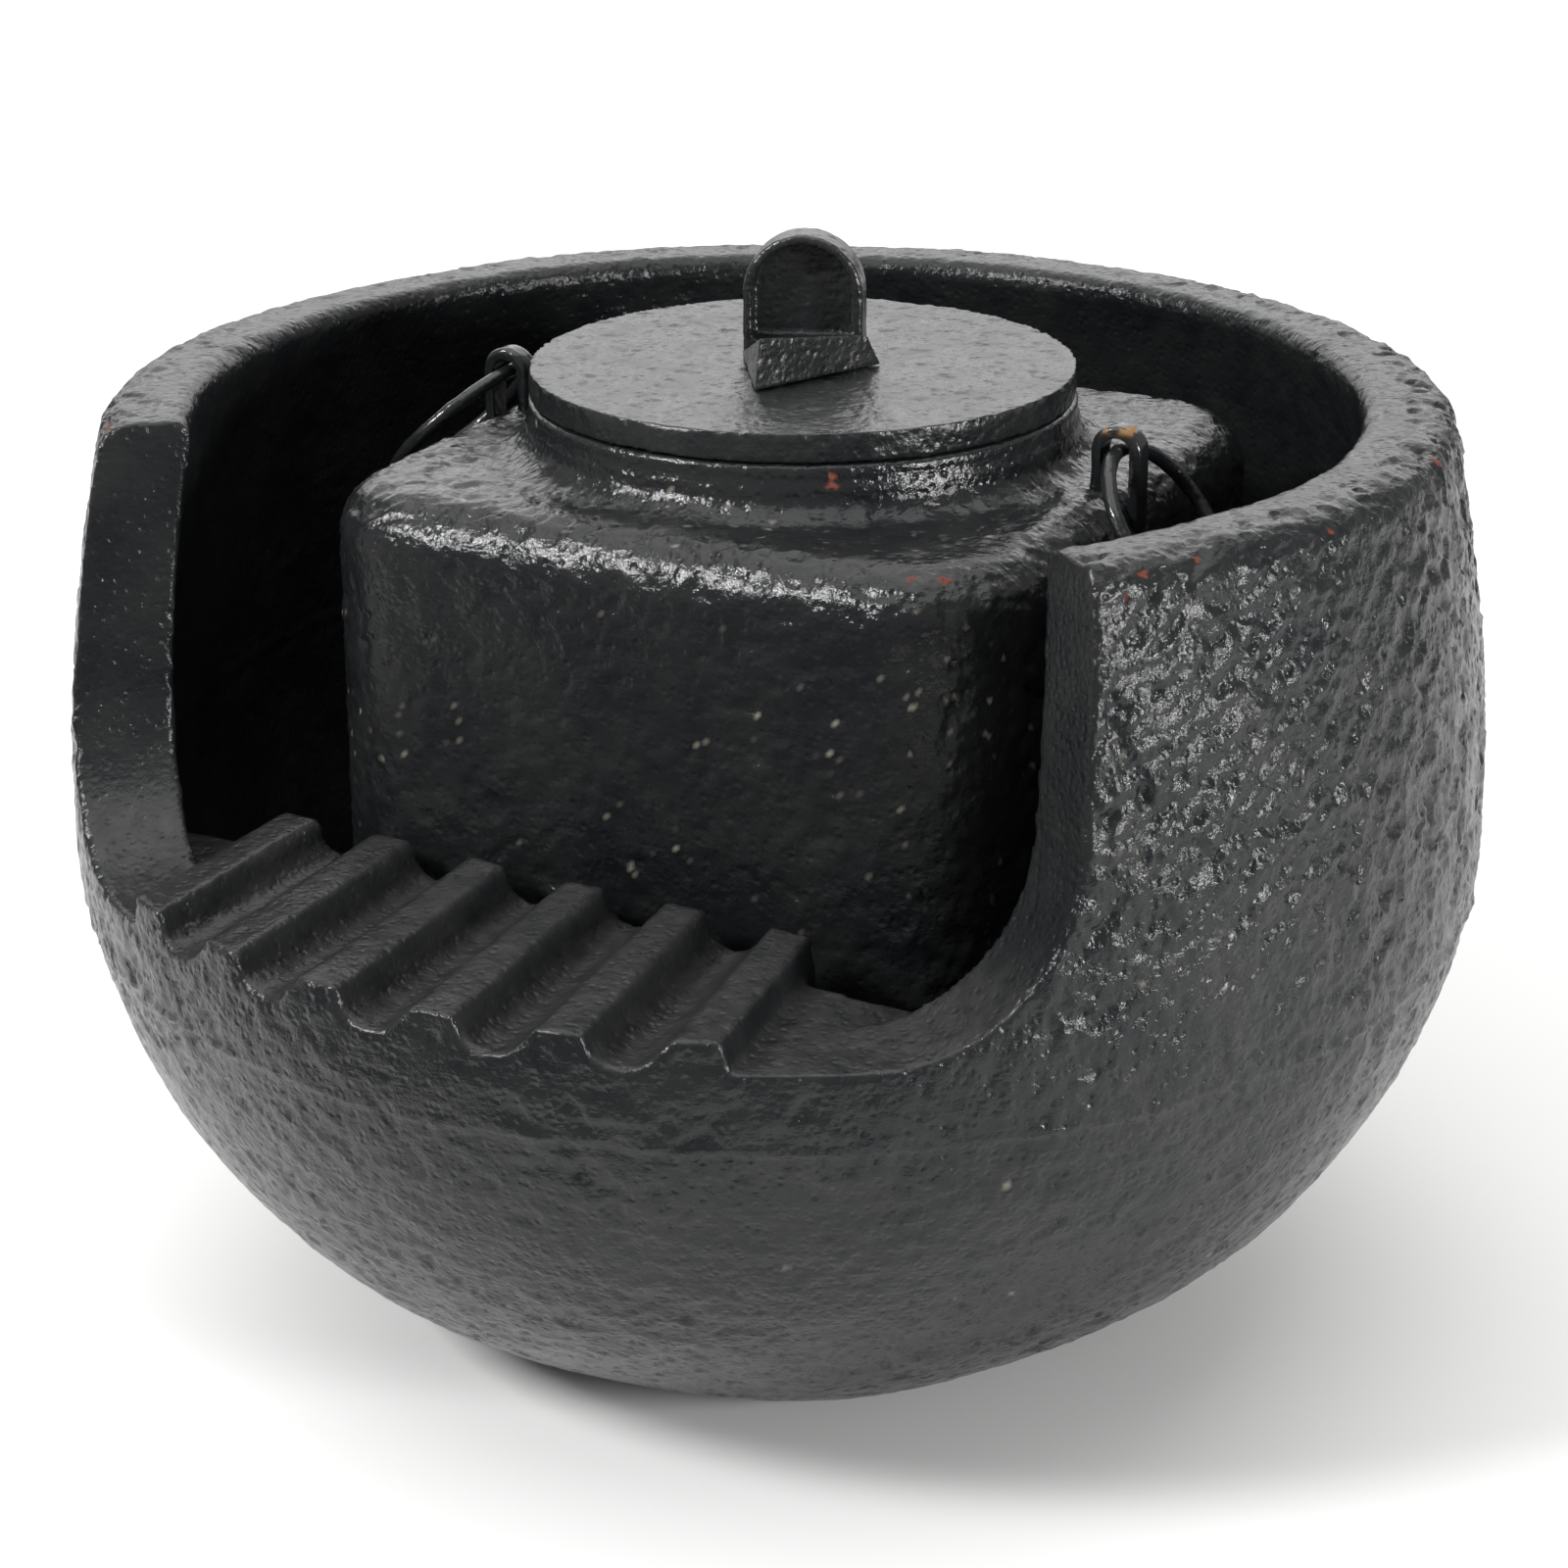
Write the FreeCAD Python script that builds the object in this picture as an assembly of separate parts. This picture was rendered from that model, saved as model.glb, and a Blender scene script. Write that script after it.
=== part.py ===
import FreeCAD, Part
import math
import os

from FreeCAD import Vector

# Cast-iron table brazier with a cut-away front and a four-sided kettle standing in it.
# Millimetres, +Z up. The origin is the centre of the flat base that the bowl stands on,
# and the window in the bowl's wall faces -Y.

# ---------------------------------------------------------------- driving dimensions

# bowl: a round casting whose wall is two part-ellipses above and below its widest line
BOWL_RADIUS = 160.0
BOWL_HEIGHT = 214.0
BELLY_HEIGHT = 121.0
OUTER_LOWER_DROP = 136.0
OUTER_UPPER_RISE = 252.0
INNER_RADIUS = 139.0
INNER_LOWER_DROP = 133.0
INNER_UPPER_RISE = 240.0
FLOOR_THICKNESS = 13.0
RIM_OUTER_ROUND = 8.0
RIM_INNER_ROUND = 4.0

# window: two radial faces that draw together towards a level sill and round into it
WINDOW_HALF_ANGLE = 51.3
WINDOW_DRAFT = 0.11
WINDOW_CORNER_RADIUS = 42.0
WINDOW_CORNER_START = 0.3
WINDOW_OVERRUN = 1.0
SILL_HEIGHT = 121.0

# sill shelf: the sill is deeper than the wall, and its inner edge slants a little
SHELF_INNER_Y = -97.5
SHELF_SLANT = -0.07
SHELF_UNDERSIDE = 108.0

# ribbed rest on the sill: flat-topped ribs with hollows between them, fanned outwards
RIB_COUNT = 6
RIB_TOP_WIDTH = 9.0
RIB_HEIGHT = 7.0
REST_INNER_FIRST_X = -74.0
REST_INNER_PITCH = 25.1
REST_INNER_Y = -90.4
REST_INNER_SLANT = -0.06
REST_OUTER_FIRST_X = -75.2
REST_OUTER_PITCH = 27.5
REST_OUTER_Y = -170.0
REST_SIDE_SPLAY = 1.5
HOLLOW_KNEE_X = 0.09
HOLLOW_KNEE_DROP = 0.6
HOLLOW_LOWEST_X = 0.38
HOLLOW_RISE_X = 0.8
HOLLOW_RISE_DROP = 0.55

# fire grate: a slotted disc on three feet
GRATE_RADIUS = 76.0
GRATE_THICKNESS = 6.0
GRATE_UNDERSIDE = 22.0
GRATE_FOOT_RADIUS = 6.0
GRATE_FOOT_CIRCLE = 66.0
GRATE_FOOT_ANGLES = (30.0, 150.0, 270.0)
GRATE_SLOT_COUNT = 5
GRATE_SLOT_WIDTH = 7.0
GRATE_SLOT_PITCH = 16.0
GRATE_EDGE_MARGIN = 20.0

# trivet: a flat ring on three riveted legs
TRIVET_TOP = 96.0
TRIVET_RING_INNER = 52.0
TRIVET_RING_OUTER = 68.0
TRIVET_BAR = 5.0
TRIVET_LEG_WIDTH = 14.0
TRIVET_FOOT_RADIUS = 74.0
TRIVET_LEG_ANGLES = (90.0, 210.0, 330.0)
TRIVET_FOOT_TOE = 1.0
TRIVET_RIVET_RADIUS = 2.5
TRIVET_RIVET_HEAD = 4.5
TRIVET_RIVET_SINK = 1.5

# kettle: a hollow rounded box with a round neck, a little to the right of the bowl's axis
KETTLE_X = 6.5
KETTLE_HALF_WIDTH = 82.0
KETTLE_CORNER_RADIUS = 26.0
KETTLE_SHOULDER = 202.0
KETTLE_SHOULDER_ROUND = 12.0
KETTLE_FOOT_ROUND = 14.0
KETTLE_WALL = 4.0
NECK_RADIUS = 61.0
NECK_TOP = 214.0
NECK_BORE = 55.0
NECK_FILLET = 8.0

# lugs and ring handles
LUG_OFFSET = 76.0
LUG_HOLE_RADIUS = 3.1
LUG_OUTER_RADIUS = 5.9
LUG_WIDTH = 6.0
LUG_EDGE_ROUND = 1.2
LUG_CENTRE_HEIGHT = 209.6
RING_WIRE_RADIUS = 1.8
RING_MEAN_RADIUS = 19.5
RING_REST_ANGLES = {-1: 44.0, 1: 54.0}

# lid
LID_RADIUS = 60.8
LID_THICKNESS = 6.8
LID_SKIRT_RADIUS = 54.3
LID_SKIRT_WALL = 4.0
LID_SKIRT_DEPTH = 5.0

# knob: an upright round-headed plate with a hollowed face, turned a little on the lid
KNOB_X = 3.9
KNOB_Y = 6.2
KNOB_TURN = 20.0
KNOB_WIDTH = 27.0
KNOB_THICKNESS = 10.0
KNOB_HEIGHT = 27.5
KNOB_LIP = 2.3
KNOB_EDGE_ROUND = 1.2
KNOB_HOLLOW_DEPTH = 5.5
KNOB_BASE_HEIGHT = 4.0

# foot before the knob: a wedge with an upright front face, lower towards its far end
FOOT_X = 2.8
FOOT_Y = 2.2
FOOT_TURN = 66.7
FOOT_FRONT_Y = -18.8
FOOT_NEAR_END = (-26.0, -24.5)
FOOT_FAR_END = (10.1, 5.8)
FOOT_HEIGHT_NEAR = 11.6
FOOT_HEIGHT_FAR = 7.7
FOOT_BACK_NEAR = (-8.8, 7.0)
FOOT_BACK_FAR = (9.7, -12.7)
FOOT_BACK_HEIGHT = 0.12

# rivets and washer that hold the knob
KNOB_RIVET_RADIUS = 2.5
KNOB_RIVET_HEAD = 4.5
KNOB_RIVET_SPACING = 14.0
KNOB_RIVET_SINK = 0.4
KNOB_WASHER_RADIUS = 13.0
KNOB_WASHER_THICKNESS = 1.6

# ---------------------------------------------------------------- worked-out places

FLOOR_TOP = FLOOR_THICKNESS
GRATE_TOP = GRATE_UNDERSIDE + GRATE_THICKNESS
KETTLE_BASE = TRIVET_TOP
LID_TOP = NECK_TOP + LID_THICKNESS
Z_AXIS = Vector(0, 0, 1)
KETTLE_AXIS = Vector(KETTLE_X, 0, 0)


def export(shape, node):
    shape.exportStep("parts/" + node + ".step")
    print(node, "solids", len(shape.Solids), "valid", shape.isValid(), "cm3", round(shape.Volume / 1000, 1))


def polygon_face(points):
    """A flat face from corner points in order."""
    return Part.Face(Part.makePolygon(points + [points[0]]))


def turned(points):
    """A solid turned about the Z axis from a section given as (radius, height) pairs."""
    corners = [Vector(r, 0, z) for r, z in points]
    return polygon_face(corners).revolve(Vector(0, 0, 0), Z_AXIS, 360)


def cylinder(radius, low, high, x=0.0, y=0.0):
    return Part.makeCylinder(radius, high - low, Vector(x, y, low))


# ---------------------------------------------------------------- bowl

def ellipse_radius(widest, half_height, z):
    """Radius at height z of an ellipse that is widest at the belly line."""
    return widest * math.sqrt(1.0 - ((z - BELLY_HEIGHT) / half_height) ** 2)


def ellipse_edge(widest, half_height, z_end):
    """The part of the ellipse from the belly line to z_end, above or below it."""
    direction = 1.0 if z_end > BELLY_HEIGHT else -1.0
    centre = Vector(0, 0, BELLY_HEIGHT)
    side = Vector(widest, 0, BELLY_HEIGHT)
    pole = Vector(0, 0, BELLY_HEIGHT + direction * half_height)
    angle = math.asin(abs(z_end - BELLY_HEIGHT) / half_height)
    if half_height > widest:
        curve = Part.Ellipse(pole, side, centre)
        return Part.ArcOfEllipse(curve, math.pi / 2 - angle, math.pi / 2).toShape()
    curve = Part.Ellipse(side, pole, centre)
    return Part.ArcOfEllipse(curve, 0.0, angle).toShape()


def bowl_blank(outside_only=False):
    """The whole round bowl before the window is cut, or its filled outer shape."""
    base_radius = ellipse_radius(BOWL_RADIUS, OUTER_LOWER_DROP, 0.0)
    rim_outer = ellipse_radius(BOWL_RADIUS, OUTER_UPPER_RISE, BOWL_HEIGHT)
    rim_inner = ellipse_radius(INNER_RADIUS, INNER_UPPER_RISE, BOWL_HEIGHT)
    floor_radius = ellipse_radius(INNER_RADIUS, INNER_LOWER_DROP, FLOOR_TOP)
    base_centre = Vector(0, 0, 0)
    base_edge = Vector(base_radius, 0, 0)
    rim_edge = Vector(rim_outer, 0, BOWL_HEIGHT)
    edges = [
        Part.makeLine(base_centre, base_edge),
        ellipse_edge(BOWL_RADIUS, OUTER_LOWER_DROP, 0.0),
        ellipse_edge(BOWL_RADIUS, OUTER_UPPER_RISE, BOWL_HEIGHT),
    ]
    if outside_only:
        top_centre = Vector(0, 0, BOWL_HEIGHT)
        edges += [Part.makeLine(rim_edge, top_centre), Part.makeLine(top_centre, base_centre)]
    else:
        mouth_edge = Vector(rim_inner, 0, BOWL_HEIGHT)
        floor_edge = Vector(floor_radius, 0, FLOOR_TOP)
        floor_centre = Vector(0, 0, FLOOR_TOP)
        edges += [
            Part.makeLine(rim_edge, mouth_edge),
            ellipse_edge(INNER_RADIUS, INNER_UPPER_RISE, BOWL_HEIGHT),
            ellipse_edge(INNER_RADIUS, INNER_LOWER_DROP, FLOOR_TOP),
            Part.makeLine(floor_edge, floor_centre),
            Part.makeLine(floor_centre, base_centre),
        ]
    wire = Part.Wire(Part.__sortEdges__(edges))
    return Part.Face(wire).revolve(Vector(0, 0, 0), Z_AXIS, 360)


def circle_edges(shape, radius, z, slack=0.5):
    """The shape's circular edges about the Z axis with this radius and height."""
    found = []
    for edge in shape.Edges:
        box = edge.BoundBox
        level = abs(box.ZMin - z) < slack and abs(box.ZMax - z) < slack
        if level and abs(box.XMax - radius) < slack:
            found.append(edge)
    return found


def window_side(side):
    """What stays of the wall beside the window on one side (-1 left, 1 right)."""
    turn = math.radians(WINDOW_HALF_ANGLE) * side
    outward = Vector(math.sin(turn), -math.cos(turn), 0)
    inward_across = Vector(-math.cos(turn), -math.sin(turn), 0) * side
    start = outward * (BOWL_RADIUS * WINDOW_CORNER_START)
    top = BOWL_HEIGHT - SILL_HEIGHT + WINDOW_OVERRUN
    lean = math.atan(WINDOW_DRAFT)
    radius = WINDOW_CORNER_RADIUS

    def at(across, height):
        return start + inward_across * across + Vector(0, 0, SILL_HEIGHT + height)

    # the round touches the leaning side at an angle of "lean" from level
    centre_across = WINDOW_DRAFT * (top - radius) + radius / math.cos(lean)
    touch = at(centre_across - radius * math.cos(lean), radius - radius * math.sin(lean))
    half_turn = (math.pi / 2 - lean) / 2
    middle_angle = lean + half_turn
    middle = at(centre_across - radius * math.cos(middle_angle), radius - radius * math.sin(middle_angle))
    face = Part.Face(Part.Wire([
        Part.makeLine(at(-WINDOW_OVERRUN, -WINDOW_OVERRUN), at(centre_across, -WINDOW_OVERRUN)),
        Part.makeLine(at(centre_across, -WINDOW_OVERRUN), at(centre_across, 0)),
        Part.Arc(at(centre_across, 0), middle, touch).toShape(),
        Part.makeLine(touch, at(0, top)),
        Part.makeLine(at(0, top), at(-WINDOW_OVERRUN, top)),
        Part.makeLine(at(-WINDOW_OVERRUN, top), at(-WINDOW_OVERRUN, -WINDOW_OVERRUN)),
    ]))
    return face.extrude(outward * BOWL_RADIUS)


def window_tool():
    """The space that the window takes out of the wall."""
    reach = 2 * BOWL_RADIUS
    turn = math.radians(WINDOW_HALF_ANGLE)
    wedge = polygon_face([
        Vector(0, 0, SILL_HEIGHT),
        Vector(-reach * math.sin(turn), -reach * math.cos(turn), SILL_HEIGHT),
        Vector(0, -2 * reach, SILL_HEIGHT),
        Vector(reach * math.sin(turn), -reach * math.cos(turn), SILL_HEIGHT),
    ]).extrude(Vector(0, 0, BOWL_HEIGHT))
    return wedge.cut([window_side(-1), window_side(1)])


def rest_wire(first_x, pitch, base_y, slant):
    """The ribbed rest's section, in an upright plane at y = base_y + slant * x."""
    top = SILL_HEIGHT + RIB_HEIGHT
    low = SHELF_UNDERSIDE
    hollow = pitch - RIB_TOP_WIDTH

    def at(x, z):
        return Vector(x, base_y + slant * x, z)

    left = first_x - RIB_TOP_WIDTH / 2
    right = left + (RIB_COUNT - 1) * pitch + RIB_TOP_WIDTH
    edges = [
        Part.makeLine(at(left - REST_SIDE_SPLAY, low), at(left - REST_SIDE_SPLAY, SILL_HEIGHT)),
        Part.makeLine(at(left - REST_SIDE_SPLAY, SILL_HEIGHT), at(left, top)),
    ]
    for rib in range(RIB_COUNT):
        start = left + rib * pitch
        end = start + RIB_TOP_WIDTH
        edges.append(Part.makeLine(at(start, top), at(end, top)))
        if rib < RIB_COUNT - 1:
            knee = at(end + hollow * HOLLOW_KNEE_X, top - RIB_HEIGHT * HOLLOW_KNEE_DROP)
            lowest = at(end + hollow * HOLLOW_LOWEST_X, SILL_HEIGHT)
            rise = at(end + hollow * HOLLOW_RISE_X, top - RIB_HEIGHT * HOLLOW_RISE_DROP)
            edges.append(Part.makeLine(at(end, top), knee))
            edges.append(Part.Arc(knee, lowest, rise).toShape())
            edges.append(Part.makeLine(rise, at(end + hollow, top)))
    edges += [
        Part.makeLine(at(right, top), at(right + REST_SIDE_SPLAY, SILL_HEIGHT)),
        Part.makeLine(at(right + REST_SIDE_SPLAY, SILL_HEIGHT), at(right + REST_SIDE_SPLAY, low)),
        Part.makeLine(at(right + REST_SIDE_SPLAY, low), at(left - REST_SIDE_SPLAY, low)),
    ]
    return Part.Wire(edges)


def ribbed_rest():
    inner = rest_wire(REST_INNER_FIRST_X, REST_INNER_PITCH, REST_INNER_Y, REST_INNER_SLANT)
    outer = rest_wire(REST_OUTER_FIRST_X, REST_OUTER_PITCH, REST_OUTER_Y, 0.0)
    return Part.makeLoft([inner, outer], True, True)


def sill_shelf():
    """The slab under the window, from the wall in to its slanting inner edge."""
    reach = BOWL_RADIUS * math.sin(math.radians(WINDOW_HALF_ANGLE))
    left_y = SHELF_INNER_Y + SHELF_SLANT * -reach
    right_y = SHELF_INNER_Y + SHELF_SLANT * reach
    slab = polygon_face([
        Vector(-reach, left_y, SHELF_UNDERSIDE), Vector(-reach, REST_OUTER_Y, SHELF_UNDERSIDE),
        Vector(reach, REST_OUTER_Y, SHELF_UNDERSIDE), Vector(reach, right_y, SHELF_UNDERSIDE),
    ])
    return slab.extrude(Vector(0, 0, SILL_HEIGHT - SHELF_UNDERSIDE))


def brazier_bowl():
    blank = bowl_blank()
    rim_outer = ellipse_radius(BOWL_RADIUS, OUTER_UPPER_RISE, BOWL_HEIGHT)
    rim_inner = ellipse_radius(INNER_RADIUS, INNER_UPPER_RISE, BOWL_HEIGHT)
    blank = blank.makeFillet(RIM_OUTER_ROUND, circle_edges(blank, rim_outer, BOWL_HEIGHT))
    blank = blank.makeFillet(RIM_INNER_ROUND, circle_edges(blank, rim_inner, BOWL_HEIGHT))
    opened = blank.cut(window_tool())
    filled = bowl_blank(outside_only=True)
    return opened.fuse([ribbed_rest().common(filled), sill_shelf().common(filled)]).removeSplitter()


# ---------------------------------------------------------------- fire grate and trivet

def fire_grate():
    disc = cylinder(GRATE_RADIUS, GRATE_UNDERSIDE, GRATE_TOP)
    slots = []
    for index in range(GRATE_SLOT_COUNT):
        x = (index - (GRATE_SLOT_COUNT - 1) / 2) * GRATE_SLOT_PITCH
        reach = math.sqrt((GRATE_RADIUS - GRATE_EDGE_MARGIN) ** 2 - x ** 2)
        corner = Vector(x - GRATE_SLOT_WIDTH / 2, -reach, GRATE_UNDERSIDE - 1)
        slots.append(Part.makeBox(GRATE_SLOT_WIDTH, 2 * reach, GRATE_THICKNESS + 2, corner))
    grate = disc.cut(slots)
    feet = []
    for angle in GRATE_FOOT_ANGLES:
        turn = math.radians(angle)
        feet.append(cylinder(GRATE_FOOT_RADIUS, FLOOR_TOP, GRATE_UNDERSIDE + 1,
                             GRATE_FOOT_CIRCLE * math.cos(turn), GRATE_FOOT_CIRCLE * math.sin(turn)))
    return grate.fuse(feet).removeSplitter()


def around_axis(shape, angle):
    moved = shape.copy()
    moved.rotate(Vector(0, 0, 0), Z_AXIS, angle)
    return moved


def trivet_rivet():
    """One round-headed rivet on the X side, through the ring and the leg's tab."""
    middle = (TRIVET_RING_INNER + TRIVET_RING_OUTER) / 2
    shank_low = TRIVET_TOP - 2 * TRIVET_BAR
    shank_top = TRIVET_TOP - TRIVET_RIVET_SINK
    sunk_radius = TRIVET_RIVET_HEAD - 1
    shank = cylinder(TRIVET_RIVET_RADIUS, shank_low, shank_top, middle)
    head = Part.makeCone(TRIVET_RIVET_RADIUS, sunk_radius, TRIVET_RIVET_SINK, Vector(middle, 0, shank_top))
    tail = Part.makeSphere(TRIVET_RIVET_HEAD, Vector(middle, 0, shank_low), Vector(0, 0, -1), 0, 90)
    return shank.fuse([head, tail]).removeSplitter()


def trivet_leg():
    """One flat-bar leg on the X side: a tab under the ring, a leaning leg and a turned-out foot."""
    tab_top = TRIVET_TOP - TRIVET_BAR
    bar = TRIVET_BAR
    toe = TRIVET_FOOT_RADIUS + TRIVET_FOOT_TOE
    outline = [
        (TRIVET_RING_INNER, tab_top), (TRIVET_RING_OUTER, tab_top),
        (TRIVET_FOOT_RADIUS, GRATE_TOP + bar), (toe, GRATE_TOP + bar),
        (toe, GRATE_TOP), (TRIVET_FOOT_RADIUS - bar, GRATE_TOP),
        (TRIVET_RING_OUTER - bar, tab_top - bar), (TRIVET_RING_INNER, tab_top - bar),
    ]
    corners = [Vector(r, -TRIVET_LEG_WIDTH / 2, z) for r, z in outline]
    return polygon_face(corners).extrude(Vector(0, TRIVET_LEG_WIDTH, 0))


def trivet():
    """The ring, the list of legs and the rivets, each rivet clenched through both bars."""
    ring = turned([
        (TRIVET_RING_INNER, TRIVET_TOP - TRIVET_BAR), (TRIVET_RING_OUTER, TRIVET_TOP - TRIVET_BAR),
        (TRIVET_RING_OUTER, TRIVET_TOP), (TRIVET_RING_INNER, TRIVET_TOP),
    ])
    rivets = [around_axis(trivet_rivet(), angle) for angle in TRIVET_LEG_ANGLES]
    legs = [around_axis(trivet_leg(), angle).cut(rivet) for angle, rivet in zip(TRIVET_LEG_ANGLES, rivets)]
    return ring.cut(rivets), legs, Part.makeCompound(rivets)


# ---------------------------------------------------------------- kettle

def rounded_block(half, corner, low, high, low_round, high_round):
    """A square block with rounded corners, centred on the kettle's axis."""
    block = Part.makeBox(2 * half, 2 * half, high - low, Vector(KETTLE_X - half, -half, low))
    upright = [e for e in block.Edges if abs(e.BoundBox.ZMax - e.BoundBox.ZMin) > 1]
    block = block.makeFillet(corner, upright)
    top = [e for e in block.Edges if e.BoundBox.ZMin > high - 0.01]
    block = block.makeFillet(high_round, top)
    bottom = [e for e in block.Edges if e.BoundBox.ZMax < low + 0.01]
    return block.makeFillet(low_round, bottom)


def on_kettle_axis(shape):
    moved = shape.copy()
    moved.translate(KETTLE_AXIS)
    return moved


def neck():
    """The round neck and the hollow curve that runs out of it into the shoulder."""
    low = KETTLE_SHOULDER - KETTLE_WALL
    foot = NECK_RADIUS + NECK_FILLET
    bend_top = KETTLE_SHOULDER + NECK_FILLET
    bulge = NECK_FILLET * (1 - math.sqrt(0.5))
    corners = {
        "inside_low": Vector(NECK_BORE - 1, 0, low),
        "foot_low": Vector(foot, 0, low),
        "foot": Vector(foot, 0, KETTLE_SHOULDER),
        "bend": Vector(NECK_RADIUS + bulge, 0, KETTLE_SHOULDER + bulge),
        "bend_top": Vector(NECK_RADIUS, 0, bend_top),
        "lip": Vector(NECK_RADIUS, 0, NECK_TOP),
        "inside_top": Vector(NECK_BORE - 1, 0, NECK_TOP),
    }
    wire = Part.Wire([
        Part.makeLine(corners["inside_low"], corners["foot_low"]),
        Part.makeLine(corners["foot_low"], corners["foot"]),
        Part.Arc(corners["foot"], corners["bend"], corners["bend_top"]).toShape(),
        Part.makeLine(corners["bend_top"], corners["lip"]),
        Part.makeLine(corners["lip"], corners["inside_top"]),
        Part.makeLine(corners["inside_top"], corners["inside_low"]),
    ])
    return Part.Face(wire).revolve(Vector(0, 0, 0), Z_AXIS, 360)


def kettle_body(lugs):
    outside = rounded_block(KETTLE_HALF_WIDTH, KETTLE_CORNER_RADIUS, KETTLE_BASE, KETTLE_SHOULDER,
                            KETTLE_FOOT_ROUND, KETTLE_SHOULDER_ROUND)
    hollow = rounded_block(KETTLE_HALF_WIDTH - KETTLE_WALL, KETTLE_CORNER_RADIUS - KETTLE_WALL,
                           KETTLE_BASE + KETTLE_WALL, KETTLE_SHOULDER - KETTLE_WALL,
                           KETTLE_FOOT_ROUND - KETTLE_WALL, KETTLE_SHOULDER_ROUND - KETTLE_WALL)
    bore = on_kettle_axis(cylinder(NECK_BORE, KETTLE_BASE + 3 * KETTLE_WALL, NECK_TOP + 1))
    shell = outside.fuse(on_kettle_axis(neck())).cut([hollow, bore])
    return shell.cut(lugs).removeSplitter()


def lug(side):
    """A strap ear with one leg on the shoulder and one on its rounded edge, the hole along Y."""
    x = KETTLE_X + side * LUG_OFFSET
    inner_low = KETTLE_SHOULDER - KETTLE_WALL
    outer_low = KETTLE_SHOULDER - KETTLE_SHOULDER_ROUND

    def at(outward, z):
        return Vector(x + side * outward, -LUG_WIDTH / 2, z)

    def arch(radius):
        inner, outer = at(-radius, LUG_CENTRE_HEIGHT), at(radius, LUG_CENTRE_HEIGHT)
        return Part.Face(Part.Wire([
            Part.Arc(inner, at(0, LUG_CENTRE_HEIGHT + radius), outer).toShape(),
            Part.makeLine(outer, at(radius, outer_low)),
            Part.makeLine(at(radius, outer_low), at(0, outer_low)),
            Part.makeLine(at(0, outer_low), at(0, inner_low)),
            Part.makeLine(at(0, inner_low), at(-radius, inner_low)),
            Part.makeLine(at(-radius, inner_low), inner),
        ]))

    ear = arch(LUG_OUTER_RADIUS).cut(arch(LUG_HOLE_RADIUS)).extrude(Vector(0, LUG_WIDTH, 0))
    crown = []
    for edge in ear.Edges:
        box = edge.BoundBox
        if box.YLength < 0.01 and box.XLength > 2 * LUG_OUTER_RADIUS - 0.01:
            crown.append(edge)
    return ear.makeFillet(LUG_EDGE_ROUND, crown)


def ring_handle(side):
    """A wire ring through the lug, leaning out over the shoulder's edge."""
    x = KETTLE_X + side * LUG_OFFSET
    lean = math.radians(RING_REST_ANGLES[side])
    along = Vector(side * math.cos(lean), 0, -math.sin(lean))
    centre = Vector(x, 0, LUG_CENTRE_HEIGHT) + along * RING_MEAN_RADIUS
    across = along.cross(Vector(0, 1, 0))
    return Part.makeTorus(RING_MEAN_RADIUS, RING_WIRE_RADIUS, centre, across)


# ---------------------------------------------------------------- lid and knob

def on_lid(shape, x, y, turn):
    """Moves a piece made at the origin, front towards -Y, to its place on the lid."""
    moved = shape.copy()
    moved.rotate(Vector(0, 0, 0), Z_AXIS, turn)
    moved.translate(Vector(x, y, LID_TOP))
    return moved


def at_knob(shape):
    return on_lid(shape, KNOB_X, KNOB_Y, KNOB_TURN)


def round_headed_face(half_width, height, y, low=0.0):
    shoulder = height - half_width
    left_low, right_low = Vector(-half_width, y, low), Vector(half_width, y, low)
    left_high, right_high = Vector(-half_width, y, shoulder), Vector(half_width, y, shoulder)
    return Part.Face(Part.Wire([
        Part.makeLine(left_low, right_low),
        Part.makeLine(right_low, right_high),
        Part.Arc(right_high, Vector(0, y, height), left_high).toShape(),
        Part.makeLine(left_high, left_low),
    ]))


def lid_knob():
    half = KNOB_WIDTH / 2
    front = -KNOB_THICKNESS / 2
    plate = round_headed_face(half, KNOB_HEIGHT, front).extrude(Vector(0, KNOB_THICKNESS, 0))
    outline = [e for e in plate.Edges if e.BoundBox.YLength < 0.01 and e.BoundBox.ZMax > 1]
    plate = plate.makeFillet(KNOB_EDGE_ROUND, outline)
    opening = round_headed_face(half - KNOB_LIP, KNOB_HEIGHT - KNOB_LIP, front, KNOB_BASE_HEIGHT)
    return at_knob(plate.cut(opening.extrude(Vector(0, KNOB_HOLLOW_DEPTH, 0))))


def foot_end(bottom_x, top_x, height, back):
    """One end of the foot: up its front face, then sloping down to a low back edge."""
    rise = Vector(top_x - bottom_x, 0, height)
    front_low = Vector(bottom_x, FOOT_FRONT_Y, 0)
    back_low = Vector(back[0], back[1], 0)
    back_high = back_low + rise * FOOT_BACK_HEIGHT
    return Part.makePolygon([front_low, front_low + rise, back_high, back_low, front_low])


def knob_foot(knob):
    near = foot_end(*FOOT_NEAR_END, FOOT_HEIGHT_NEAR, FOOT_BACK_NEAR)
    far = foot_end(*FOOT_FAR_END, FOOT_HEIGHT_FAR, FOOT_BACK_FAR)
    wedge = Part.makeLoft([near, far], True, True)
    return on_lid(wedge, FOOT_X, FOOT_Y, FOOT_TURN).cut(knob)


def knob_rivets():
    """Two rivets that hold the knob from under the lid."""
    rivets = []
    for side in (-1, 1):
        x = side * KNOB_RIVET_SPACING / 2
        low = -LID_THICKNESS - KNOB_WASHER_THICKNESS
        shank = cylinder(KNOB_RIVET_RADIUS, low, KNOB_BASE_HEIGHT - KNOB_RIVET_SINK, x)
        head = Part.makeSphere(KNOB_RIVET_HEAD, Vector(x, 0, low), Vector(0, 0, -1), 0, 90)
        rivets.append(at_knob(shank.fuse(head).removeSplitter()))
    return rivets


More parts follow.
